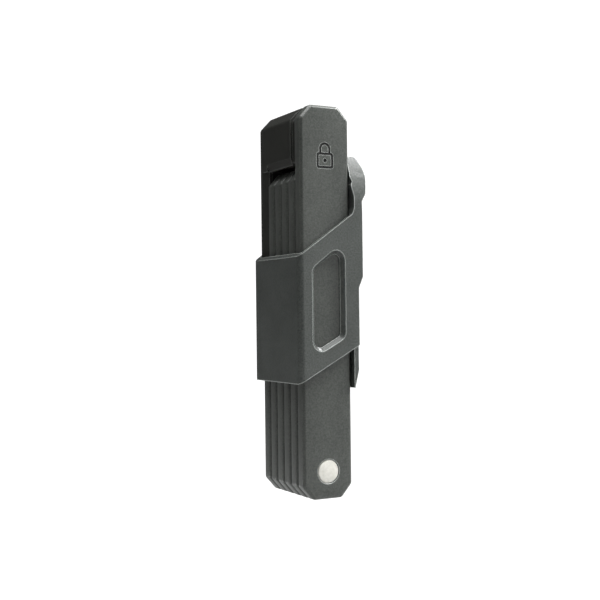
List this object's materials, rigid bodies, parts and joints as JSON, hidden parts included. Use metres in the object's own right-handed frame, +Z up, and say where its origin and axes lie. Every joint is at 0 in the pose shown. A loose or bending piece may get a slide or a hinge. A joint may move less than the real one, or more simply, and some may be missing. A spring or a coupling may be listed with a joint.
{
  "type": "folding bike lock with frame holster",
  "caption": "Folded stack of riveted flat links with a cylinder lock head, carried in a slanted moulded sleeve with a thumb release tongue.",
  "frame": {"origin": "midway between the two boss holes, on the rubber pad's face against the bicycle frame", "axes": "+Z up along the folded links, +X out of the pad towards the bicycle frame, -Y out of the front link's face"},
  "size_m": [0.04, 0.0512, 0.195],
  "materials": {
    "sleeve_plastic": "moulded nylon with a fine spark-eroded grain, charcoal",
    "head_plastic": "moulded nylon, nearly black, matte",
    "jacket_plastic": "moulded jacket, charcoal grey, finely grained",
    "bar_steel": "hardened steel, dull",
    "rivet_steel": "pale satin steel",
    "brass": "machined",
    "fastener_steel": "zinc plated",
    "rubber": "soft black rubber"
  },
  "bodies": {
    "holster": {"holster_sleeve": "sleeve_plastic", "anti_rattle_pads": "rubber", "mount_plate": "sleeve_plastic", "fixing_screws": "fastener_steel", "frame_pad": "rubber"},
    "tongue": {"release_tongue": "sleeve_plastic"},
    "lock": {"head_housing": "head_plastic", "lock_case": "bar_steel", "case_screws": "fastener_steel", "housing_pins": "fastener_steel", "cylinder_body": "brass", "cylinder_pin": "fastener_steel", "cover_rivet": "rivet_steel", "locking_stud": "bar_steel", "link_washers": "bar_steel", "link_bar_1": "bar_steel", "link_bar_2": "bar_steel", "link_bar_3": "bar_steel", "link_bar_4": "bar_steel", "link_bar_5": "bar_steel", "link_bar_6": "bar_steel", "link_jacket_1": "jacket_plastic", "link_jacket_2": "jacket_plastic", "link_jacket_3": "jacket_plastic", "link_jacket_4": "jacket_plastic", "link_jacket_5": "jacket_plastic", "link_jacket_6": "jacket_plastic", "rivet_1_2": "rivet_steel", "rivet_2_3": "rivet_steel", "rivet_3_4": "rivet_steel", "rivet_4_5": "rivet_steel", "rivet_5_6": "rivet_steel"},
    "core": {"key_core": "brass", "detainer_discs": "brass", "sidebar": "brass", "core_clip": "fastener_steel", "tail_cam": "bar_steel"},
    "bolt": {"locking_bolt": "bar_steel"},
    "cover": {"dust_cover": "head_plastic"}
  },
  "joints": [
    {"name": "lock_draw", "type": "slide", "parent": "holster", "child": "lock", "axis": [0, 0, 1], "range_m": [0, 0.175]},
    {"name": "tongue_flex", "type": "hinge", "parent": "holster", "child": "tongue", "pos_m": [-0.0034, 0, 0.0409], "axis": [0, 1, 0], "range_deg": [0, 6], "stiffness_Nm_per_rad": 3},
    {"name": "core_turn", "type": "hinge", "parent": "lock", "child": "core", "pos_m": [-0.023, 0.0049, 0.08], "axis": [0, 0, 1], "range_deg": [0, 90.1]},
    {"name": "bolt_slide", "type": "slide", "parent": "lock", "child": "bolt", "axis": [1, 0, 0], "range_m": [0, 0.004]},
    {"name": "cover_swivel", "type": "hinge", "parent": "lock", "child": "cover", "pos_m": [-0.023, 0.0135, 0.0943], "axis": [0, 0, 1], "range_deg": [0, 90]}
  ],
  "couplings": [
    {"joint": "core_turn", "follows": "bolt_slide", "rad_per_m": 392.7}
  ]
}
